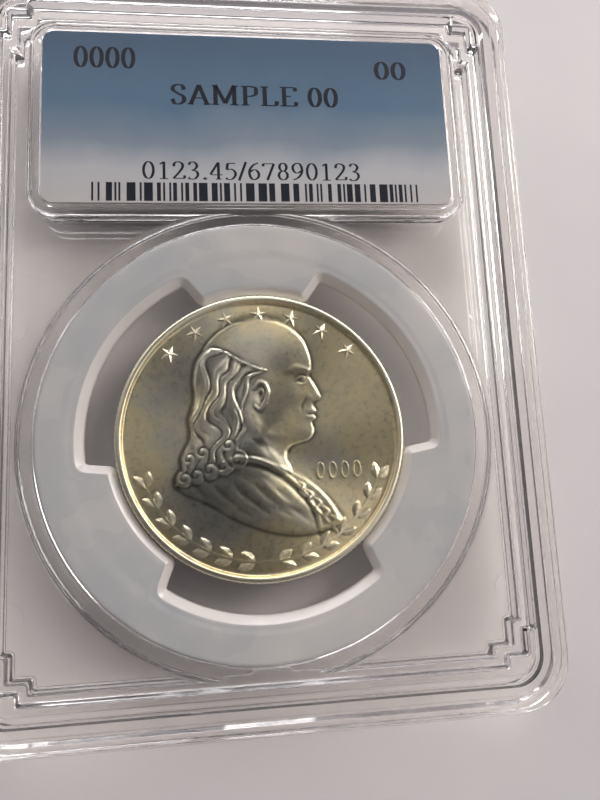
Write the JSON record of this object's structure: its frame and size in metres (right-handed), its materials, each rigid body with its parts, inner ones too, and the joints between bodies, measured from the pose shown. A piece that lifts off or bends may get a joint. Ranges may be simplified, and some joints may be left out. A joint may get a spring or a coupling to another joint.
{
  "type": "graded coin slab",
  "caption": "Flat clear plastic holder with a stacking rim that seals a coin in a translucent gasket below a printed card.",
  "frame": {"origin": "middle of the holder's rear face, on the plane it lies on", "axes": "+X to the right across the width, +Y along the height towards the printed card, +Z through the thickness towards the viewer of the coin's front"},
  "size_m": [0.061, 0.082, 0.008],
  "materials": {
    "clear_shell": "clear moulded polystyrene, glossy, with fine moulding texture on the plates",
    "frosted_gasket": "milky translucent plastic, satin",
    "toned_silver": "struck silver with grey-olive and golden toning, satin fields, bright rim",
    "printed_card": "printed card, slate blue at the top fading to pale grey at the bottom",
    "backing_foil": "metallic security foil with a fine diffractive pattern"
  },
  "bodies": {
    "root": {"rear_shell": "clear_shell", "front_shell": "clear_shell", "coin_gasket": "frosted_gasket", "coin": "toned_silver", "label_card": "printed_card", "label_foil": "backing_foil"}
  },
  "joints": []
}
